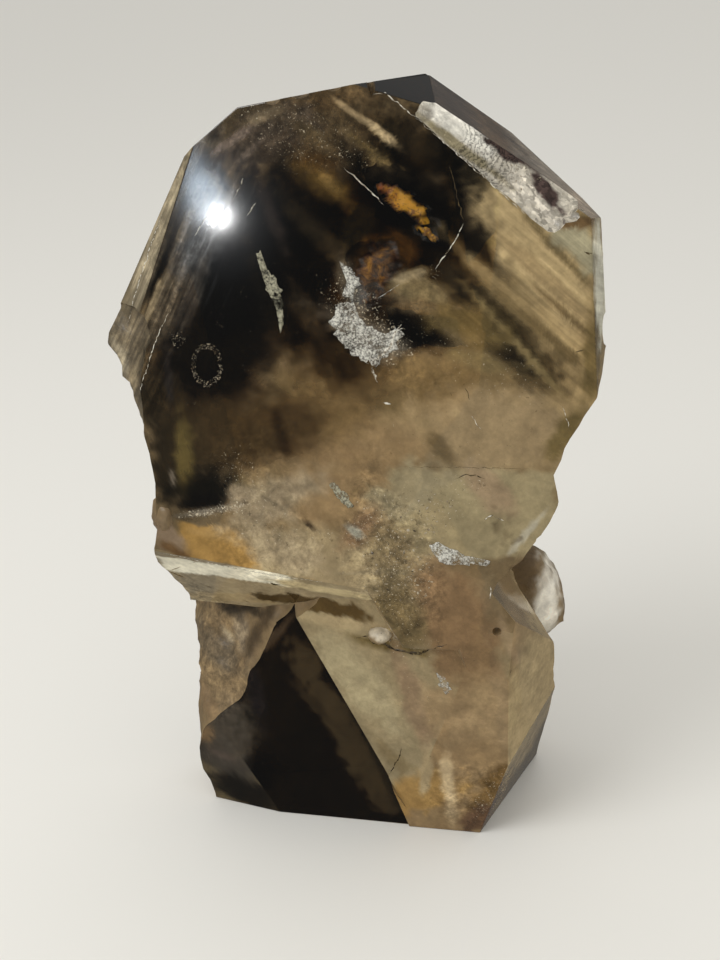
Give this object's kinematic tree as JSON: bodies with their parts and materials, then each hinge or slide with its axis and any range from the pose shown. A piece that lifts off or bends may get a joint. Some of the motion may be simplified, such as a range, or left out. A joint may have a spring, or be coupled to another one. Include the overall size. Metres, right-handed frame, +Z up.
{
  "type": "polished smoky quartz",
  "caption": "Freestanding smoky quartz crystal with a polished front, polished rim faces and broken skin at its narrow waist, standing on a sawn flat base.",
  "frame": {"origin": "middle of the bounding box, on the sawn base", "axes": "+Z up, the broad polished front faces -Y, +X to the right as seen from the front"},
  "size_m": [0.0914, 0.0542, 0.1509],
  "materials": {
    "smoky_quartz": "polished"
  },
  "bodies": {
    "root": {"smoky_quartz": "smoky_quartz"}
  },
  "joints": []
}
